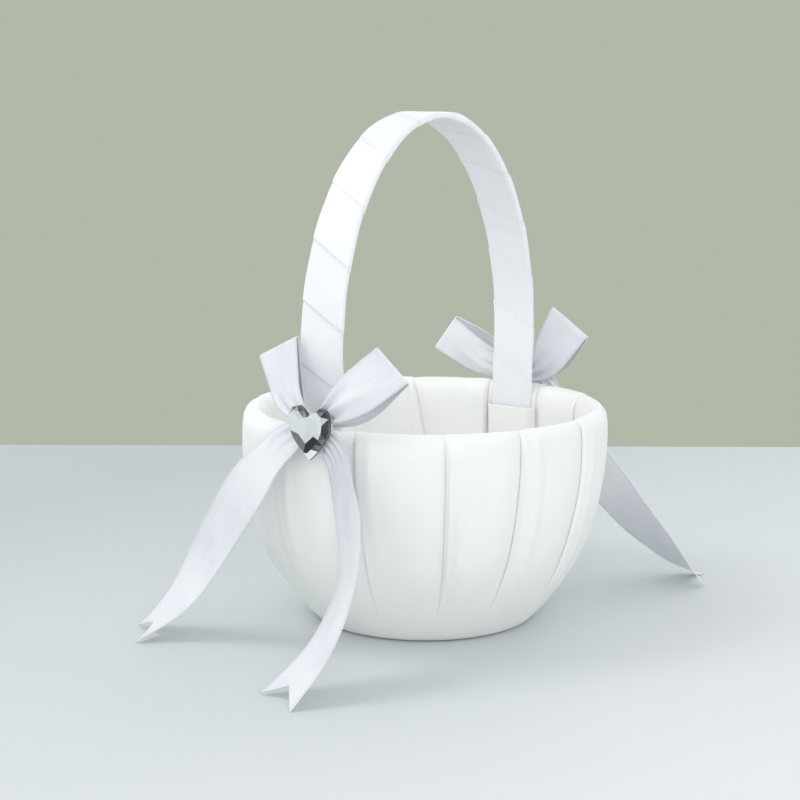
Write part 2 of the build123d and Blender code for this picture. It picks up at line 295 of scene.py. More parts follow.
def cloth_satin(name, tint, shade, roughness, sheen):
    """Matte satin cloth: UVs in millimetres carry the weave, and noise varies tint, gloss and wrinkles."""
    n = Nodes(name)
    uv = n.add("UVMap").outputs[0]
    split = n.add("SeparateXYZ", {0: uv})
    place = n.add("NewGeometry").outputs["Position"]
    slow = n.add("TexNoise", {"Vector": place, "Scale": 22.0, "Detail": 3.0, "Roughness": 0.55})
    drawn_out = n.add("Mapping", {0: uv, "Scale": (0.05, 1.6, 1)})
    slub = n.add("TexNoise", {"Vector": drawn_out, "Scale": 1.0, "Detail": 4.0})
    creases = n.add("TexNoise", {"Vector": place, "Scale": 75.0, "Detail": 5.0, "Roughness": 0.6})
    threads = weave(n, split.outputs[0], split.outputs[1], weave_pitch)
    colour = n.blend(n.fade(slow.outputs[0], 0.35, 0.68), tint, shade)
    colour = n.blend(n.fade(slub.outputs[0], 0.50, 0.80, 0.16), colour, darker(shade, 0.94))
    first = n.bump(creases.outputs[0], 0.35, 0.5)
    normal = n.bump(threads, 0.16, 0.05, first)
    rough = n.math("MULTIPLY_ADD", slow.outputs[0], 0.18, roughness - 0.09)
    n.set(Base_Color=colour, Roughness=rough, Normal=normal, Sheen_Weight=sheen, Sheen_Roughness=0.45,
          Specular_IOR_Level=0.42, Subsurface_Weight=0.06, Subsurface_Radius=(0.004, 0.004, 0.004))
    return n.owner


def ribbon_satin(name, width_mm, tint, shade, roughness):
    """Glossy satin ribbon: U runs along it and V across from its middle, in millimetres.

    Both edges carry a dotted woven selvedge.
    """
    n = Nodes(name)
    uv = n.add("UVMap").outputs[0]
    split = n.add("SeparateXYZ", {0: uv})
    u, v = split.outputs[0], split.outputs[1]
    place = n.add("NewGeometry").outputs["Position"]
    slow = n.add("TexNoise", {"Vector": place, "Scale": 30.0, "Detail": 3.0})
    drawn_out = n.add("Mapping", {0: uv, "Scale": (0.035, 1.3, 1)})
    streaks = n.add("TexNoise", {"Vector": drawn_out, "Scale": 1.0, "Detail": 5.0, "Roughness": 0.6})
    from_edge = n.math("SUBTRACT", width_mm / 2, n.math("ABSOLUTE", v))
    selvedge = n.ramp(n.math("MULTIPLY", from_edge, 0.5), (0.0, grey(1)), (0.42, grey(1)), (0.55, grey(0)))
    stitch_u = n.wave(u, dot_pitch)
    stitch_v = n.math("ABSOLUTE", n.math("SUBTRACT", from_edge, dots_from_edge))
    in_row = n.math("LESS_THAN", stitch_v, dot_half_height)
    dot = n.math("MULTIPLY", n.math("GREATER_THAN", stitch_u, -0.1), in_row)
    ribs = n.math("MULTIPLY", n.wave(u, 0.36), 0.3)
    floats = n.math("MULTIPLY", n.wave(v, 0.3), 0.5)
    fine = n.math("ADD", ribs, floats)
    height = n.math("ADD", fine, n.math("MULTIPLY", selvedge, 1.6))
    height = n.math("SUBTRACT", height, n.math("MULTIPLY", dot, 2.6))
    creases = n.add("TexNoise", {"Vector": place, "Scale": 95.0, "Detail": 4.0, "Roughness": 0.55})
    first = n.bump(creases.outputs[0], 0.22, 0.45)
    normal = n.bump(height, 0.22, 0.07, first)
    cloudy = n.math("MULTIPLY_ADD", streaks.outputs[0], 0.35, n.math("MULTIPLY", slow.outputs[0], 0.65))
    colour = n.blend(n.fade(cloudy, 0.38, 0.68), tint, shade)
    colour = n.blend(n.math("MULTIPLY", dot, 0.5), colour, darker(shade, 0.55))
    rough = n.math("MULTIPLY_ADD", streaks.outputs[0], 0.08, roughness - 0.08)
    rough = n.math("MULTIPLY_ADD", selvedge, 0.14, rough)
    n.set(Base_Color=colour, Roughness=rough, Normal=normal, Sheen_Weight=0.12, Sheen_Roughness=0.3,
          Specular_IOR_Level=0.8, Subsurface_Weight=0.04, Subsurface_Radius=(0.003, 0.003, 0.004),
          Anisotropic=0.45, Tangent=n.add("Tangent", direction_type="UV_MAP", uv_map="cloth"))
    return n.owner


def gem_material():
    """Mirror-backed acrylic with painted reflections: a tone for each facet, and paler facets painted on the
    table.
    """
    n = Nodes("gem_acrylic")
    tone = n.add("Attribute", attribute_name="facet_painted_reflection").outputs["Fac"]
    place = n.add("NewGeometry").outputs["Position"]
    # Painted reflections: each facet's colour comes from its painted reflection tone, near black to near
    # white.
    facet = n.ramp(tone, (0.0, (0.004, 0.004, 0.006)), (0.25, (0.06, 0.063, 0.07)),
                   (0.55, (0.25, 0.26, 0.28)), (1.0, (0.97, 0.98, 1.0)))
    # Painted reflection of paler facets seen through the table from below, in a cell pattern.
    inner = n.add("TexVoronoi", {"Vector": place, "Scale": 190.0, "Randomness": 0.8}, feature="F1")
    below = n.ramp(inner.outputs["Color"], (0.15, (0.60, 0.63, 0.64)), (0.7, (0.74, 0.77, 0.78)))
    colour = n.blend(n.math("GREATER_THAN", tone, 1.2), facet, below)
    scratches = n.add("TexNoise", {"Vector": place, "Scale": 900.0, "Detail": 2.0})
    rough = n.math("MULTIPLY_ADD", scratches.outputs[0], 0.10, 0.10)
    n.set(Base_Color=colour, Metallic=0.2, Roughness=rough)
    n.set(Coat_Weight=0.25, Coat_Roughness=0.04, Coat_IOR=1.3)
    return n.owner


def plain_cad(name, tint, shade, roughness, scale, metallic=0.0, bump=0.3):
    """Procedural finish for a CAD node: two colours mixed by noise, with a matching bump."""
    n = Nodes(name)
    place = n.add("NewGeometry").outputs["Position"]
    grain = n.add("TexNoise", {"Vector": place, "Scale": scale, "Detail": 5.0, "Roughness": 0.6})
    pores = n.add("TexVoronoi", {"Vector": place, "Scale": scale * 2.2})
    colour = n.blend(n.fade(grain.outputs[0], 0.35, 0.7), tint, shade)
    height = n.math("ADD", grain.outputs[0], n.math("MULTIPLY", pores.outputs[0], 0.5))
    n.set(Base_Color=colour, Metallic=metallic, Normal=n.bump(height, bump, 0.15),
          Roughness=n.math("MULTIPLY_ADD", grain.outputs[0], 0.2, roughness - 0.1))
    return n.owner


ribbon_width = 22.0  # of the stock ribbon, with its selvedges
wrap_pitch = 24.0  # along the handle from one turn's seam to the next
satin = cloth_satin("cover_satin", (0.885, 0.89, 0.872, 1), (0.85, 0.862, 0.845, 1), 0.42, 0.25)
lining_cloth = cloth_satin("lining_satin", (0.90, 0.90, 0.875, 1), (0.86, 0.87, 0.845, 1), 0.5, 0.2)
ribbon = ribbon_satin("bow_ribbon", ribbon_width, (0.80, 0.807, 0.837, 1), (0.64, 0.653, 0.705, 1), 0.25)
wrap_ribbon = ribbon_satin("wrap_ribbon", wrap_pitch, (0.875, 0.88, 0.90, 1), (0.81, 0.82, 0.855, 1), 0.3)
gem_look = gem_material()
greyboard = ((0.56, 0.54, 0.50, 1), (0.46, 0.44, 0.41, 1), 0.9, 300.0)
foil = plain_cad("gem_foil_silver", (0.80, 0.81, 0.83, 1), (0.62, 0.63, 0.66, 1), 0.2, 420.0, 1.0)
foam = plain_cad("white_foam", (0.84, 0.83, 0.78, 1), (0.75, 0.74, 0.68, 1), 0.9, 420.0, bump=0.6)
glue = plain_cad("glue", (0.86, 0.86, 0.82, 1), (0.80, 0.80, 0.75, 1), 0.3, 150.0)
cad_finishes = {
    "bowl_core": plain_cad("pressed_board", (0.48, 0.40, 0.29, 1), (0.38, 0.31, 0.22, 1), 0.85, 260.0),
    "base_card": plain_cad("base_greyboard", *greyboard),
    "floor_card": plain_cad("floor_greyboard", *greyboard),
    "handle_core": plain_cad("handle_plastic", (0.80, 0.80, 0.77, 1), (0.74, 0.74, 0.71, 1), 0.4, 180.0),
    "handle_staples": plain_cad("staple_steel", (0.62, 0.62, 0.64, 1), (0.5, 0.5, 0.52, 1), 0.3, 500.0, 1.0),
    "outer_padding": foam,
    "inner_padding": foam,
    "rim_padding": foam,
    "front_gem_foil": foil,
    "back_gem_foil": foil,
    "front_bow_glue": glue,
    "back_bow_glue": glue,
}


# ---- pleated cloth of the bowl ----
valley_width = 6.5  # how far from a fold the panel beside it starts to dip under it
sink = 0.3  # how far the folded cloth is pulled into the foam
calm_depth = 14  # within this distance of the rim a panel lies flatter
plain_strip = 0.6  # what is left of a tuck's width where the folds have faded out
fold_edge = 0.04  # share of a panel taken by its rounded fold edge
ridge_width = 0.045
crease_width = 0.09


class Pleats:
    """Knife pleats round the bowl. Each fold's right-hand panel lies over its left-hand neighbour.

    A fold is (angle at the rim, depth, how many degrees it leans to the left on its way to the base).
    """

    # Where a panel's points lie across it, closest at its two folded sides.
    columns = (0.0, 0.006, 0.014, 0.024, 0.036, 0.05, 0.066, 0.085, 0.11, 0.14, 0.17, 0.2, 0.235, 0.27, 0.31,
               0.36, 0.42, 0.48, 0.54, 0.6, 0.66, 0.72, 0.77, 0.81, 0.85, 0.885, 0.915, 0.94, 0.96, 0.98, 1)

    def __init__(self, folds, overlap, step, puff, lean_power, seed):
        self.folds = sorted(folds)
        self.lean_power = lean_power
        self.overlap = overlap
        self.step = step
        self.puff = puff
        self.seed = seed

    def angle(self, k, height):
        """Where a fold is at a height, in radians: on its mark at the rim, leaning and straying below it."""
        mark, _, lean = self.folds[k]
        down = 1 - height / rim_top
        stray = 1.8 * wander(height * 0.02, k * 3.7, self.seed) * smooth(0, 0.5, down)
        return math.radians(mark - lean * down**self.lean_power + stray)

    def row(self, radius, fade, height):
        """One ring of the cloth as (angle, outward offset in mm, run along the cloth in mm)."""
        ring = []
        run = 0.0
        count = len(self.folds)
        for k in range(count):
            nxt = (k + 1) % count
            here = self.angle(k, height)
            there = self.angle(nxt, height)
            if there < here:
                there += 2 * math.pi
            step = self.step * self.folds[k][1] * fade
            next_step = self.step * self.folds[nxt][1] * fade
            # Where the folds fade out the tuck turns into a narrow plain strip, and the cloth stays smooth.
            tuck = (self.overlap * self.folds[nxt][1] * fade - plain_strip * (1 - fade)) / radius
            # The panel: a rounded fold edge on top, easing down to the wall before the next fold covers it.
            for t in self.columns:
                angle = mix(here, there + tuck, t)
                valley = smooth(-1.0, valley_width, (there - angle) * radius)
                lift = step * (0.22 + 0.78 * smooth(0, fold_edge, t)) * (1 - 0.5 * t) * valley
                lift += self.swell(k, t, height) * fade * valley
                lift += 0.06 * next_step * (1 - valley) - sink * fade
                ring.append((angle, lift, run + (angle - here) * radius))
            run += (there + tuck - here) * radius
            # The tuck: back under the next panel to its fold edge.
            for t in (0.03, 0.3, 0.7, 0.95):
                angle = there + tuck * (1 - t)
                lift = mix(0.06, 0.2, t) * next_step - sink * fade
                ring.append((angle, lift, run + tuck * radius * t))
            run += tuck * radius
        return ring

    def swell(self, k, t, height):
        """Soft pressed ridges, a slanting crease and fullness inside a panel."""
        seed = self.seed
        ridge_at = 0.17 + 0.07 * wander(k * 5.1, 0, seed) + 0.03 * wander(height * 0.03, k * 2.0, seed)
        ridge_height = 0.45 + 0.55 * wander(k * 2.3, height * 0.025, seed)
        ridge = math.exp(-(((t - ridge_at) / ridge_width) ** 2)) * max(ridge_height, 0)
        slant = 0.86 - 0.5 * (1 - height / rim_top) * (0.8 + 0.5 * wander(k * 4.3, 1.0, seed))
        crease_depth = max(0.5 + 0.8 * wander(k * 6.1, height * 0.02, seed), 0)
        crease = math.exp(-(((t - slant) / crease_width) ** 2)) * crease_depth
        full = math.sin(math.pi * min(max(t, 0), 1)) * (0.7 + 0.6 * wander(k * 1.9, height * 0.017, seed + 2))
        calm = 1 - smooth(rim_top - calm_depth, rim_top - 3, height)
        shape = 1.2 * ridge - 1.1 * crease * calm + mix(0.2, 0.6, calm) * full
        return self.puff * self.folds[k][1] * shape * smooth(0, 0.05, t)


def pleated_sheet(name, pleats, profile, fades, side, material):
    """A ring-shaped sheet. profile holds (radius, height, outward way); side is 1 outside and -1 inside."""
    points, uv = [], []
    length = 0.0
    previous = None
    for (radius, height, way), fade in zip(profile, fades):
        if previous is not None:
            length += math.dist(previous, (radius, height))
        previous = (radius, height)
        ring = pleats.row(max(radius, 5.0), fade, height)
        for angle, lift, run in ring:
            ripple = 0.10 * wander(angle * 9, length * 0.05, pleats.seed + 5)
            hem = hem_rise * smooth(hem_height - 0.35, hem_height + 0.25, height) if side > 0 else 0
            ripple += hem * (0.7 + 0.6 * wander(angle * 1.7, 0, 9))
            r = radius + (lift + ripple) * way[0]
            z = height + (lift + ripple) * way[1]
            points.append((r * math.cos(angle), r * math.sin(angle), z))
            uv.append((run, length))
    columns = len(ring)
    faces = grid_faces(len(profile), columns, closed=True, flip=side < 0)
    return mesh_piece(name, points, faces, material, uv)


half_wall = (belly_radius - inner_radius(rim_start)) / 2
rim_middle = belly_radius - half_wall
rim_rise = rim_top - rim_start
rim_squareness = 0.88  # 1 is an ellipse, less is squarer
rim_depth = 5  # the folds are pressed flat from this far below the rim
seam_turn = math.radians(90)  # where cover and lining meet on the rim
seam_overlap = math.radians(8)

# The hem folded inside the top of the cover shows through as a low band just under the rim.
hem_height = rim_top - 4.2
hem_rise = 0.22


def roll_point(turn):
    """(radius, height, outward way) on the round rim, with turn 0 at its outside and pi at its inside."""
    out, up = math.cos(turn), math.sin(turn)
    squareness = rim_squareness if out > 0 else 1.0
    r = rim_middle + half_wall * math.copysign(abs(out) ** squareness, out)
    z = rim_start + rim_rise * abs(up) ** squareness
    way = unit(np.array([math.cos(turn) / half_wall, math.sin(turn) / rim_rise]))
    return r, z, tuple(way)


def wall_point(z, radius_at, side):
    """(radius, height, outward way) on one of the bowl's two walls."""
    slope = radius_at(z + 0.5) - radius_at(z - 0.5)
    return radius_at(z), z, tuple(unit(np.array([side, -side * slope])))


def pressed(z):
    """How much of a fold's depth is left where the folds are pressed flat over the rim."""
    return 1 - 0.8 * smooth(rim_top - rim_depth, rim_top, z)


def tucked_in(path, length=2.2, depth=0.9):
    """The same path with its last few millimetres sinking in, so that two edges meet without a gap."""
    sunk = []
    left = [0.0]
    for here, ahead in zip(path[::-1], path[-2::-1]):
        left.append(left[-1] + math.dist(here[:2], ahead[:2]))
    for (r, z, way), rest in zip(path, left[::-1]):
        drop = depth * (1 - smooth(0, length, rest))
        sunk.append((r - drop * way[0], z - drop * way[1], way))
    return sunk


# The cover's path: from under the base, up the wall and over the rim to its seam with the lining.
cover_path = [(r, 0.45, (0.0, 0.0)) for r in np.linspace(base_radius - 4, base_radius + 0.4, 3)]
cover_path += [wall_point(z, outer_radius, 1) for z in np.linspace(0.9, rim_start, 72)]
cover_path += [roll_point(a) for a in np.linspace(0, seam_turn + seam_overlap, 44)[1:]]
cover_fades = [smooth(9, 40, z) * pressed(z) for r, z, way in cover_path]
cover_path = tucked_in(cover_path)

# Folds as (rim angle, depth, lean), at about equal steps. The cover and the lining are folded together where
# they meet, so their folds share the rim's angles nearly all round.
cover_folds = ((-74, 1, -3.5), (-47.2, 1.2, 1.5), (-24, 1.2, 2.5), (2, 0.8, 1), (30, 0.45, -2), (55, 1.1, 4),
               (79, 1, 2), (101.8, 1.15, 3), (131, 0.95, -2), (155, 1.05, 3), (181, 1.2, 4), (207, 0.5, 1),
               (232, 1.1, -3), (256.5, 1, 2))
cover_pleats = Pleats(cover_folds, overlap=7.0, step=2.1, puff=1.3, lean_power=1.5, seed=1)
cover = pleated_sheet("outer_cover_satin", cover_pleats, cover_path, cover_fades, 1, satin)
dress(cover, "outer_cover")

# The lining's path: from that seam down the inside and in under the floor disc.
lining_path = [roll_point(a) for a in np.linspace(seam_turn - seam_overlap, math.pi, 34)]
turn_in = lining_bottom + 4
lining_path += [wall_point(z, inner_radius, -1) for z in np.linspace(rim_start - 0.6, turn_in + 1, 56)]
lining_path += [(inner_radius(turn_in) - k, turn_in - k, (-0.8, 0.6)) for k in (0.8, 1.6, 2.4)]
lining_fades = [mix(0.35, 1.0, smooth(6, 40, z)) * pressed(z) for r, z, way in lining_path]
lining_path = tucked_in(lining_path[::-1])[::-1]
lining_folds = ((101.8, 1.5, 0.5), (131, 1.2, 14), (155, 1, 3), (181, 1.1, -4), (207, 0.8, 2),
                (232, 1, 5), (256.5, 0.8, -2), (281.4, 1, 2), (312.6, 0.9, -3), (337, 1.1, 4),
                (363.2, 0.9, 2), (390, 1, -3), (415, 0.8, 2), (440, 0.9, 4))
lining_pleats = Pleats(lining_folds, overlap=6.0, step=1.6, puff=1.5, lean_power=1.0, seed=4)
lining = pleated_sheet("inner_lining_satin", lining_pleats, lining_path, lining_fades, -1, lining_cloth)
dress(lining, "inner_lining")


def padded_disc(name, radius, low, high, crown, material, replaced):
    """A satin-covered card disc: cloth pulled over a rounded edge, crowned, with faint pull wrinkles."""
    # (share of the radius, share of the thickness) from the middle of the top, round the edge and back below.
    rings = [(share, 1.0) for share in (0.02, 0.15, 0.3, 0.45, 0.6, 0.72, 0.82)]
    rings += [(0.9, 0.98), (0.955, 0.92), (0.985, 0.8), (1.0, 0.55), (1.0, 0.3), (0.985, 0.08)]
    rings += [(share, 0.0) for share in (0.95, 0.6, 0.02)]
    turns = 144
    points, uv = [], []
    for share, level in rings:
        for k in range(turns):
            angle = 2 * math.pi * k / turns
            pull = 0.22 * wander(math.cos(angle) * 6, math.sin(angle) * 6, 3) * smooth(0.5, 1.0, share)
            z = mix(low, high, level) + (crown * (1 - share**2) + pull) * (1 if level > 0.5 else 0)
            r = radius * share
            points.append((r * math.cos(angle), r * math.sin(angle), z))
            uv.append((r * math.cos(angle), r * math.sin(angle) + level))
    disc = mesh_piece(name, points, tube_faces(len(rings), turns, flip=True), material, uv)
    dress(disc, replaced)


floor_press = 0.9  # how far the floor disc is pressed into the soft lining all round
floor_crown = 1.2
padded_disc("floor_cover_satin", floor_radius + floor_press, floor_bottom, floor_top, floor_crown,
            lining_cloth, "floor_cover")
padded_disc("base_cover_satin", base_radius, 0.0, base_top - 0.2, 0.0, satin, "base_cover")


# ---- the wrapped handle ----
def handle_line():
    """The strip's middle line from front foot to back foot: points in the YZ plane and their outward ways."""
    span = handle_span - strip_thickness / 2
    rise = handle_apex - spring_height - strip_thickness / 2
    places, ways = [], []
    lean = (handle_span - handle_foot_span) / (spring_height - handle_foot)
    for z in np.linspace(handle_foot, spring_height, 80, endpoint=False):
        places.append((-span + lean * (spring_height - z), z))
        ways.append((-1.0, 0.0))
    for a in np.linspace(math.pi, 0, 400):
        places.append((span * math.cos(a), spring_height + rise * math.sin(a)))
        ways.append(unit(np.array([math.cos(a) / span, math.sin(a) / rise])))
    for z in np.linspace(spring_height, handle_foot, 80)[1:]:
        places.append((span - lean * (spring_height - z), z))
        ways.append((1.0, 0.0))
    return np.array(places), np.array(ways)


strip_corner = 1.1
seam_step = 0.24  # how high each turn's edge stands over the turn below
seam_start = 51.35  # along the strip from the front foot to the first whole turn's seam
wrap_inset = 0.16  # keeps the wound ribbon at the CAD wrap's size on average
# Where each turn's rows lie across the ribbon, closest at its two edges.
turn_rows = (0.0, 0.012, 0.03, 0.06, 0.11, 0.18, 0.27, 0.37, 0.48, 0.59, 0.70, 0.80, 0.88, 0.94, 0.975, 0.99)


def strip_outline():
    """Closed, rounded cross-section of the strip as (x, outward) points, and the distance round to each."""
    half_x, half_y = strip_half_width - strip_corner, strip_thickness / 2 - strip_corner
    corners = []
    for cx, cy, start in ((-1, 1, 180), (1, 1, 90), (1, -1, 0), (-1, -1, -90)):
        for k in range(5):
            a = math.radians(start - 90 * k / 4)
            x, y = strip_corner * math.cos(a), strip_corner * math.sin(a)
            corners.append((cx * half_x + x, cy * half_y + y))
    dense = []
    for (ax, ay), (bx, by) in zip(corners, corners[1:] + corners[:1]):
        pieces = max(1, int(math.dist((ax, ay), (bx, by))))
        for k in range(pieces):
            dense.append((mix(ax, bx, k / pieces), mix(ay, by, k / pieces)))
    dense.append(dense[0])
    return dense, run_along(np.array(dense))


def build_wrap():
    """Ribbon wound round the strip. Each turn's lower edge lies over the turn before, as a sloping step."""
    places, ways = handle_line()
    distance = run_along(places)
    total = distance[-1]
    outline, run = strip_outline()
    girth = run[-1]
    points, uv = [], []
    for turn in range(-4, int(total / wrap_pitch) + 4):
        for phase in turn_rows:
            for (x, y), around in zip(outline, run):
                s = seam_start + (turn + phase) * wrap_pitch - wrap_pitch * around / girth
                s = min(max(s, 0.0), total)
                py, pz = point_at(s, distance, places)
                way = unit(point_at(s, distance, ways))
                lift = seam_step * (1 - smooth(0.0, 0.85, phase)) * smooth(-0.001, 0.012, phase)
                lift += 0.10 * wander(s * 0.12, around * 0.1, 8) - wrap_inset
                tall = 1 + lift / (strip_thickness / 2)
                wide = 1 + lift / strip_half_width
                points.append((x * wide, py + y * tall * way[0], pz + y * tall * way[1]))
                uv.append((around * 1.06 + turn * girth, (phase - 0.5) * wrap_pitch))
    faces = grid_faces(len(points) // len(outline), len(outline))
    return mesh_piece("handle_wrap_ribbon", points, faces, wrap_ribbon, uv)


dress(build_wrap(), "handle_wrap")


# ---- patches over the handle's feet ----
patch_thickness = 0.5
patch_gap = 0.8  # how far the patch stands off the leg


def pocket(side, name, replaced=None):
    """A satin patch on the lining that swells over the handle's foot, open and hemmed at the top."""
    low, high = mm_box["handle_pockets"]
    half = high[0]
    leg = handle_foot_span - strip_thickness - patch_gap
    rows, columns = 36, 48
    points, uv = [], []
    for i in range(rows):
        t = i / (rows - 1)
        z = mix(low[2], high[2] + 1.0, t)
        for j in range(columns):
            c = 2 * j / (columns - 1) - 1
            x = c * half * (1 - 0.03 * math.sin(math.pi * t))
            wall_y = math.sqrt(max(inner_radius(z) ** 2 - x * x, 0)) - 0.5
            over = (1 - smooth(0.80, 0.985, abs(c))) * smooth(0.0, 0.24, t)
            y = mix(wall_y, min(leg, wall_y), over)
            y -= 0.35 + 0.35 * wander(c * 1.8, t * 2.2, side + 20) * over + 0.12 * smooth(0.9, 0.97, t)
            points.append((x, side * y, z))
            uv.append((x, z))
    patch = mesh_piece(name, points, grid_faces(rows, columns, flip=side > 0), lining_cloth, uv)
    thicken(patch, patch_thickness)
    dress(patch, replaced)


pocket(-1, "front_handle_pocket")
pocket(1, "back_handle_pocket", "handle_pockets")


# ---- hanging tails ----
ribbon_thickness = 0.42
slice_step = 1.5
lowest_point = 0.35  # a tail's middle surface stays this far above the table
notch_depth = 8.0
join_skip = 4  # slices at the hinge that make way for the gathered part


def triangles(node):
    """Corner points of a CAD node's triangles, in millimetres."""
    mesh = nodes[node].data
    mesh.calc_loop_triangles()
    points = np.array([v.co for v in mesh.vertices]) / MM
    return points[np.array([list(t.vertices) for t in mesh.loop_triangles])]


def slice_edge(tris, centre, way, reach=22.0):
    """The two far ends of the ribbon's cross-section in the plane at centre, across way."""
    d = (tris - centre) @ way
    crossing = (d.min(axis=1) < 0) & (d.max(axis=1) > 0)
    cut = []
    for tri, dist in zip(tris[crossing], d[crossing]):
        for a, b in ((0, 1), (1, 2), (2, 0)):
            if dist[a] * dist[b] < 0:
                cut.append(mix(tri[a], tri[b], dist[a] / (dist[a] - dist[b])))
    cut = [p for p in cut if np.linalg.norm(p - centre) < reach]
    if len(cut) < 2:
        return None
    cut = np.array(cut)
    gaps = np.linalg.norm(cut[:, None] - cut[None], axis=2)
    i, j = np.unravel_index(gaps.argmax(), gaps.shape)
    return cut[i], cut[j]


def ribbon_edges(node, hinge):
    """Left and right edge points down a CAD tail, found by slicing it at steps from its hinge to its end."""
    tris = triangles(node)
    corners = tris.reshape(-1, 3)
    way = unit(corners[np.linalg.norm(corners - hinge, axis=1) < 25].mean(axis=0) - hinge)
    centre = hinge + way * 0.8
    left, right = [], []
    across = None
    for _ in range(200):
        pair = slice_edge(tris, centre, way)
        if pair is None:
            break
        a, b = pair
        if across is not None and (b - a) @ across < 0:
            a, b = b, a
        width = np.linalg.norm(b - a)
        if left and width < 0.6 * np.linalg.norm(right[-1] - left[-1]):
            break
        across = b - a
        left.append(a)
        right.append(b)
        middle = (a + b) / 2
        if len(left) > 4:
            way = unit(mix(way, unit(middle - (left[-5] + right[-5]) / 2), 0.5))
        centre = middle + way * slice_step
    # The last slice stops just short of the cut end, so both edges run on to it.
    beyond = max((corners - (left[-1] + right[-1]) / 2) @ way)
    left.append(left[-1] + way * beyond)
    right.append(right[-1] + way * beyond)
    return np.array(left), np.array(right)


def resample(line, count):
    """Points evenly spaced by distance along a polyline."""
    run = run_along(line)
    return point_at(np.linspace(0, run[-1], count), run, line).T


def soften(line, times):
    """Evens out a polyline and leaves its ends where they are."""
    for _ in range(times):
        line = np.concatenate([line[:1], (line[:-2] + 2 * line[1:-1] + line[2:]) / 4, line[-1:]])
    return line


def add_head(left, right, knot, exit_way, exit_reach):
    """The same edges with the gathered part in front of them, from inside the knot out over the rim."""
    centre = (left[0] + right[0]) / 2
    across = unit(right[0] - left[0])
    start = knot + np.array(exit_way) * 1.5
    bend = start + np.array(exit_way) * exit_reach
    head_left, head_right = [], []
    for t in np.linspace(0, 1, 10, endpoint=False):
        middle = (1 - t) ** 2 * start + 2 * t * (1 - t) * bend + t * t * centre
        half = mix(5.0, np.linalg.norm(right[0] - left[0]) / 2, smooth(0, 0.8, t))
        head_left.append(middle - across * half)
        head_right.append(middle + across * half)
    left, right = np.concatenate([head_left, left]), np.concatenate([head_right, right])
    return soften(resample(left, 150), 30), soften(resample(right, 150), 30)


def build_tail(name, knot, exit_way, exit_reach, gathers, gather_height, gather_length, seed):
    """A tail from under the knot to its V-cut end, gathered into small folds where the knot pinches it.

    It leaves the knot exit_way, and exit_reach says how far it keeps that way before it bends down.
    """
    hinge = np.array(joints[name]["pos_m"]) / MM
    left, right = (soften(edge, 6)[join_skip:] for edge in ribbon_edges(name, hinge))
    centre = (left[0] + right[0]) / 2
    head_length = np.linalg.norm(centre - knot)
    left, right = add_head(left, right, knot, exit_way, exit_reach)
    middle = (left + right) / 2
    run = run_along(middle)
    total = run[-1]
    along = np.gradient(middle, axis=0)
    rows, columns = 170, 33
    points, uv = [], []
    for i in range(rows):
        for j in range(columns):
            c = 2 * j / (columns - 1) - 1
            s = i / (rows - 1) * (total - notch_depth * (1 - abs(c)))
            a, b, way = (point_at(s, run, line) for line in (left, right, along))
            normal = unit(np.cross(way, b - a))
            pinch = 1 - smooth(head_length * 0.3, head_length * 0.5 + gather_length, s)
            sway = 0.25 * wander(s * 0.07, c, seed)
            ripple = gather_height * pinch * math.cos(gathers * math.pi * (c + sway)) * (1 - 0.4 * c)
            curl = 1.1 * (1 - pinch) * abs(c) ** 2.5 * wander(s * 0.035, 0, seed + 1)
            wave = 0.9 * (1 - pinch) * wander(s * 0.04, c * 0.8, seed + 2)
            wave *= 1 - smooth(total - 18, total, s)
            point = mix(a, b, (c + 1) / 2) + normal * (ripple + curl + wave)
            point[2] = max(point[2], lowest_point)
            points.append(point)
            uv.append((s, c * ribbon_width / 2))
    tail = mesh_piece(name + "_ribbon", points, grid_faces(rows, columns), ribbon, uv)
    thicken(tail, ribbon_thickness)
    apply_modifiers(tail)
    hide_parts(name)
    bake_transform(tail)


def apply_modifiers(piece):
    """Turns the shape that the modifiers give into the piece's own mesh."""
    graph = bpy.context.evaluated_depsgraph_get()
    mesh = bpy.data.meshes.new_from_object(piece.evaluated_get(graph))
    piece.modifiers.clear()
    piece.data = mesh


build_tail("front_left_tail", front_knot, (-0.9, -0.3, 0.1), 8, 3, 0.6, 12, 31)
build_tail("front_right_tail", front_knot, (0.98, -0.15, 0.1), 13, 4, 1.1, 9, 32)
build_tail("back_left_tail", back_knot, (-0.9, 0.3, -0.1), 8, 3, 0.8, 14, 33)
build_tail("back_right_tail", back_knot, (0.9, 0.3, -0.1), 8, 4, 0.8, 14, 34)


# ---- bow loops ----
corner_rounding = 0.2
loop_thickness = 0.4


def edge_curve(root, through, share, end):
    """A ribbon edge from root to a point at a share of the way, round a soft corner, and on to end."""
    root, through, end = (np.array(p, float) for p in (root, through, end))

    def corner(x):
        if x < share:
            return mix(root, through, x / share)
        return mix(through, end, (x - share) / (1 - share))

    def edge(x):
        near = min(corner_rounding, x)
        return sum(corner(x + near * k / 4) for k in range(-4, 5)) / 9

    return edge


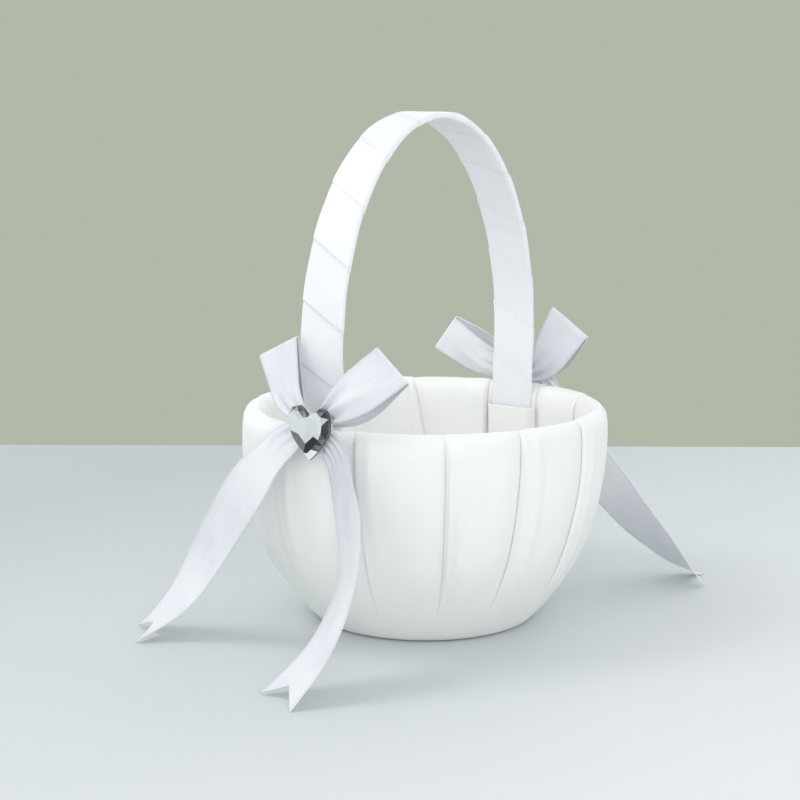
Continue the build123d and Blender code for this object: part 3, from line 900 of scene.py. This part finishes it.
def bow_loop(name, knot, edge_a, edge_b, opening, turn, front_way, seed):
    """One loop: a front layer out from the knot, a turn at the end, and a back layer home again.

    Each edge is (root, point passed, share of the way, end), measured from the knot. opening is how far apart
    the layers stand at their widest, and turn is the radius of the fold at the end.
    """
    edge_a, edge_b = edge_curve(*edge_a), edge_curve(*edge_b)
    front_way = unit(np.array(front_way, float))
    length = np.linalg.norm((edge_a(1) + edge_b(1)) / 2)
    half = []
    for t in np.linspace(0, 1, 46, endpoint=False):
        belly = (opening / 2 - turn) * math.sin(math.pi * t) ** 1.2
        half.append((t * (1 - turn / length), turn * smooth(0, 0.5, t) + belly))
    for a in np.linspace(0, math.pi / 2, 14):
        half.append((1 - turn / length * (1 - math.sin(a)), turn * math.cos(a)))
    path = [(x, y, 1) for x, y in half] + [(x, -y, -1) for x, y in half[-2::-1]]
    columns = 41
    points, uv = [], []
    run = 0.0
    for i, (x, y, layer) in enumerate(path):
        if i:
            run += math.dist((path[i - 1][0] * length, path[i - 1][1]), (x * length, y))
        for j in range(columns):
            c = 2 * j / (columns - 1) - 1
            point = mix(edge_a(x), edge_b(x), (c + 1) / 2)
            pinch = 1 - smooth(0.08, 0.62, x)
            sway = 0.3 * wander(x * 1.5, 0, seed)
            ripple = 0.95 * pinch * math.cos(2.5 * math.pi * (c + sway)) * layer
            middle_fold = math.exp(-(((c - 0.15 - sway) / 0.22) ** 2))
            ripple += middle_fold * (1 - smooth(0.25, 0.85, x)) * layer
            away = smooth(0, 0.35, 1 - x)
            crown = 0.9 * (1 - c * c) * away * smooth(0, 0.4, x) * layer
            crease = 0.55 * wander(c * 1.2, x * 2.2, seed + layer) * away * smooth(0.05, 0.4, x)
            bend = 0.5 * wander(c * 0.9, 3.0, seed) * (1 - away)
            points.append(knot + point + front_way * (y + ripple + crown + crease + bend))
            uv.append((run, c * ribbon_width / 2))
    loop = mesh_piece(name + "_ribbon", points, grid_faces(len(path), columns), ribbon, uv)
    thicken(loop, loop_thickness)
    dress(loop, name)


bow_loop("front_bow_left_loop", front_knot, ((-1, 0, 1.0), (-18.8, 3, 4.2), 0.25, (-34.0, 9, 25.2)),
         ((-1, 0, 6.0), (-7.5, 3, 11.2), 0.3, (-16.5, 11, 33.8)), 3.0, 1.2, (0.3, -0.94, 0.1), 41)
bow_loop("front_bow_right_loop", front_knot, ((2, 0, 6.5), (11.9, 2, 18.3), 0.4, (31.0, 1, 34.3)),
         ((2, 0, 1.5), (24.5, 1, 6.0), 0.5, (45.3, 1, 22.4)), 8.5, 1.1, (0.25, -0.9, 0.35), 42)
bow_loop("back_bow_left_loop", back_knot, ((-1, 0, 3.5), (-22.4, 0, 16), 0.5, (-37.8, -2, 24)),
         ((-1, 0, -3.0), (-22.4, 0, -1.1), 0.45, (-49.6, -2, 9.2)), 8.0, 1.5, (-0.1, 0.95, 0.2), 43)
bow_loop("back_bow_right_loop", back_knot, ((1, 0, 3.5), (6.0, 0, 9.5), 0.25, (15.5, -2, 32.1)),
         ((1, 0, -3.0), (18.8, 0, 1.1), 0.45, (34, -2, 20.1)), 8.0, 1.5, (0.05, 0.97, 0.15), 44)


def squared_off(share):
    """Turns a circle's sine or cosine into a rounded square's."""
    return math.copysign(abs(share) ** 0.7, share)


def bow_knot(name, knot):
    """The band of ribbon round the middle of the bow, pinched into small folds."""
    size = (mm_box[name][1] - mm_box[name][0]) / 2
    rows, turns = 22, 56
    points, uv = [], []
    for i in range(rows):
        t = 2 * i / (rows - 1) - 1
        z_half = size[2] * (0.86 + 0.14 * t * t)
        for k in range(turns):
            a = 2 * math.pi * k / turns
            fold = 0.16 * math.cos(5 * math.pi * t + 0.4 * wander(a, 0, 3)) * (1 - t * t)
            y = size[1] * (0.94 + fold) * squared_off(math.cos(a)) * (1 - 0.25 * t * t)
            z = z_half * (0.97 + fold * 0.5) * squared_off(math.sin(a))
            points.append((knot[0] + t * size[0], knot[1] + y, knot[2] + z))
            uv.append((a * 5, t * 4))
    band = mesh_piece(name + "_band", points, tube_faces(rows, turns), ribbon, uv)
    dress(band, name)


bow_knot("front_bow_knot", front_knot)
bow_knot("back_bow_knot", back_knot)


# ---- heart gems ----
# Two Bezier curves make half a heart: from the notch round the lobe, and down the flank to the tip.
heart_lobe = ((0, 0.28), (0.16, 0.66), (0.62, 0.6), (0.5, 0.1))
heart_flank = ((0.5, 0.1), (0.44, -0.14), (0.16, -0.38), (0, -0.5))
table_scale = 0.83
table_rise = 0.035
girdle_level = 0.45
# Inner corners of the two dark painted-reflection kites seen through the table, as shares of half the stone's
# width and height.
table_marks = ((-0.36, 0.0), (0.0, -0.34), (0.40, -0.02))


def cubic(points, t):
    """The point at t on a Bezier curve with four control points."""
    p = [np.array(q, float) for q in points]
    return (1 - t) ** 3 * p[0] + 3 * t * (1 - t) ** 2 * p[1] + 3 * t * t * (1 - t) * p[2] + t**3 * p[3]


def heart_outline(per_curve):
    """Unit heart, anticlockwise from the notch at the top, as (x, y)."""
    half = [cubic(heart_lobe, k / per_curve) for k in range(per_curve)]
    half += [cubic(heart_flank, k / per_curve) for k in range(per_curve + 1)]
    other = [np.array([-p[0], p[1]]) for p in half[1:-1]][::-1]
    return half + other


def crown_painted_reflections(across, up, k):
    """(outer, inner) painted reflection tone of the crown facets beside the table's corner k, which lies at
    (across, up).
    """
    # Painted glints: the right-hand crown facets take varied painted reflection tones.
    painted_glint = (0.10, 0.42, 0.22, 0.30, 0.16)[k % 5]
    if up < -0.5:
        return 1.0, 0.97
    if up < -0.3:
        return (0.95, 0.40) if across < 0 else (0.42, 0.30)
    if up > 0.7:
        return (0.06, 0.62) if k % 2 else (0.20, 0.45)
    if across > 0:
        return painted_glint, 0.30 if k % 2 else 0.12
    if up > 0.3:
        return 0.62, 0.84
    return (0.40, 0.80) if k % 3 == 0 else (0.36, 0.48)


def heart_gem(name, side):
    """Heart cut: a wide table, a zigzag of crown facets, a thin girdle and a flat foiled back.

    Each facet has a painted reflection tone, as a mirror-backed stone sends each facet's light somewhere
    different.
    """
    facets_per_curve = 5
    low, high = mm_box[name]
    centre = (low + high) / 2
    width, height, depth = high[0] - low[0], high[2] - low[2], high[1] - low[1]
    unit_heart = np.array(heart_outline(facets_per_curve))
    reach = unit_heart.max(axis=0) - unit_heart.min(axis=0)
    middle_height = (unit_heart[:, 1].max() + unit_heart[:, 1].min()) / 2
    girdle = (unit_heart - (0, middle_height)) / reach * (width, height)
    count = len(girdle)
    table = (girdle + np.roll(girdle, -1, axis=0)) / 2 * table_scale + (0, table_rise * height)
    back = low[1] if side > 0 else high[1]

    def place(across, up, level):
        return centre[0] - side * across, back + side * depth * level, centre[2] + up

    points = [place(*p, 0.0) for p in girdle] + [place(*p, girdle_level) for p in girdle]
    points += [place(*p, 1.0) for p in table]
    # Each facet is listed with its painted reflection tone.
    facets = [(tuple(range(count))[::-1], 0.5)]  # each with its tone, the flat back first
    for k in range(count):
        m = (k + 1) % count
        outer, inner = crown_painted_reflections(table[k][0] / (width / 2), table[k][1] / (height / 2), k)
        facets.append(((k, m, count + m, count + k), 0.3))
        facets.append(((count + k, count + m, 2 * count + k), outer))
        facets.append(((2 * count + k, count + m, 2 * count + m), inner))
    # The flat table, split into a pale painted reflection and two dark painted-reflection kites where the two
    # lowest facets of the back show through it.
    first_inside = len(points)
    for across, up in table_marks:
        points.append(place(across * width / 2, up * height / 2, 1.0))
    left_kite, middle, right_kite = range(first_inside, first_inside + 3)
    ring = [2 * count + k for k in range(count)]
    tip, right_side, left_side = count // 2, count // 2 - 4, count // 2 + 4
    pale = ring[: right_side + 1] + [right_kite, middle, left_kite] + ring[left_side:]
    dark_reflection_right = ring[right_side : tip + 1] + [middle, right_kite]
    dark_reflection_left = ring[tip : left_side + 1] + [left_kite, middle]
    facets += [(pale, 1.5), (dark_reflection_right, 0.05), (dark_reflection_left, 0.42)]
    gem = mesh_piece(name + "_stone", points, [face for face, _ in facets], gem_look, flat=True)
    layer = gem.data.attributes.new("facet_painted_reflection", "FLOAT", "FACE")
    layer.data.foreach_set("value", [tone for _, tone in facets])
    dress(gem, name)


heart_gem("front_gem", -1)
heart_gem("back_gem", 1)

# ---- finishes on the CAD nodes that stay ----
for node, finish in cad_finishes.items():
    nodes[node].data.materials.clear()
    nodes[node].data.materials.append(finish)

# ---- floor, light and camera ----
view_azimuth = math.radians(37)
floor_reach = 0.36
sage = (0.44, 0.482, 0.395, 1)
# Painted light falloff on the floor: a lit colour near the camera and a shaded colour far off.
floor_lit_near = (0.76, 0.78, 0.795, 1)
floor_shaded_far = (0.47, 0.52, 0.515, 1)
tent_white = (0.96, 0.985, 1.0, 1)
horizon_strength = 1.22
sky_falloff = -0.55


def build_floor():
    """A pale floor with painted shade, darker away from the camera and to the left, and a plain sage surround
    beyond floor_reach.
    """
    look = Nodes("pale_floor")
    place = look.add("NewGeometry").outputs["Position"]
    turned = look.add("Mapping", {0: place, "Rotation": (0, 0, -view_azimuth)})
    right, ahead, _ = look.add("SeparateXYZ", {0: turned}).outputs
    reach = look.math("MAXIMUM", look.math("ABSOLUTE", right), look.math("ABSOLUTE", ahead))
    is_far = look.math("MULTIPLY", look.math("GREATER_THAN", reach, floor_reach),
                       look.add("LightPath").outputs["Is Camera Ray"])
    mottle = look.add("TexNoise", {"Vector": place, "Scale": 9.0, "Detail": 2.0})
    # Painted shade: the colour darkens away from the camera and towards the left, with slight noise mottle.
    depth = look.math("ADD", ahead, look.math("MULTIPLY", mottle.outputs[0], 0.04))
    depth = look.math("MULTIPLY_ADD", right, -0.9, depth)
    look.set(Base_Color=look.blend(look.math("MULTIPLY_ADD", depth, 1.3, 0.45), floor_lit_near, floor_shaded_far),
             Roughness=0.6, Specular_IOR_Level=0.3)
    surround = look.add("Emission", {"Color": sage, "Strength": 1.0})
    choice = look.add("MixShader", {0: is_far, 1: look.shader, 2: surround})
    look.put(look.tree.nodes["Material Output"].inputs["Surface"], choice)
    bpy.ops.mesh.primitive_plane_add(size=12, location=(0, 0, 0))
    floor = bpy.context.object
    floor.name = "studio_floor"
    floor.data.materials.append(look.owner)


def build_room():
    """A soft white tent, brighter at its sides than overhead, which the camera sees as plain sage."""
    room = Nodes("studio", bpy.data.worlds, "Background")
    up = room.add("SeparateXYZ", {0: room.add("TexCoord").outputs["Generated"]}).outputs[2]
    room.set(Color=tent_white, Strength=room.math("MULTIPLY_ADD", up, sky_falloff, horizon_strength))
    seen = room.add("Background", {"Color": sage})
    is_seen = room.add("LightPath").outputs["Is Camera Ray"]
    either = room.add("MixShader", {0: is_seen, 1: room.shader, 2: seen})
    room.put(room.tree.nodes["World Output"].inputs["Surface"], either)
    bpy.context.scene.world = room.owner


def softbox(name, place, side, power, colour):
    """A square lamp, aimed at the middle of the basket."""
    light = bpy.data.lights.new(name, "AREA")
    light.size = side
    light.energy = power
    light.color = colour
    lamp = bpy.data.objects.new(name, light)
    bpy.context.scene.collection.objects.link(lamp)
    lamp.location = place
    lamp.rotation_euler = (Vector((0, 0, 0.08)) - lamp.location).to_track_quat("-Z", "Y").to_euler()


build_floor()
build_room()
softbox("key_light", (-0.55, -0.50, 1.05), 0.45, 3.6, (1.0, 1.0, 1.0))
softbox("fill_light", (0.9, -0.9, 0.5), 0.7, 3.2, (0.98, 0.99, 1.0))
softbox("back_light", (-0.2, 1.0, 0.9), 0.9, 2.0, (0.98, 0.99, 1.0))

# The plain view transform, because the default one darkens and greys white satin.
bpy.context.scene.view_settings.view_transform = "Standard"

# At a chosen distance of 0.68 m, the camera's height, aim, tilt and lens come from a least-squares fit to
# points picked on the photo's rim, base and sides. Its azimuth is where the handle's two legs come out alike.
camera_data = bpy.data.cameras.new("photo_camera")
camera_data.sensor_width = 36
camera_data.lens = 74.34
camera = bpy.data.objects.new("photo_camera", camera_data)
bpy.context.scene.collection.objects.link(camera)
camera.location = (0.4092, -0.5431, 0.2043)
camera.rotation_euler = (math.radians(80.48), 0, math.radians(37.87))
bpy.context.scene.camera = camera
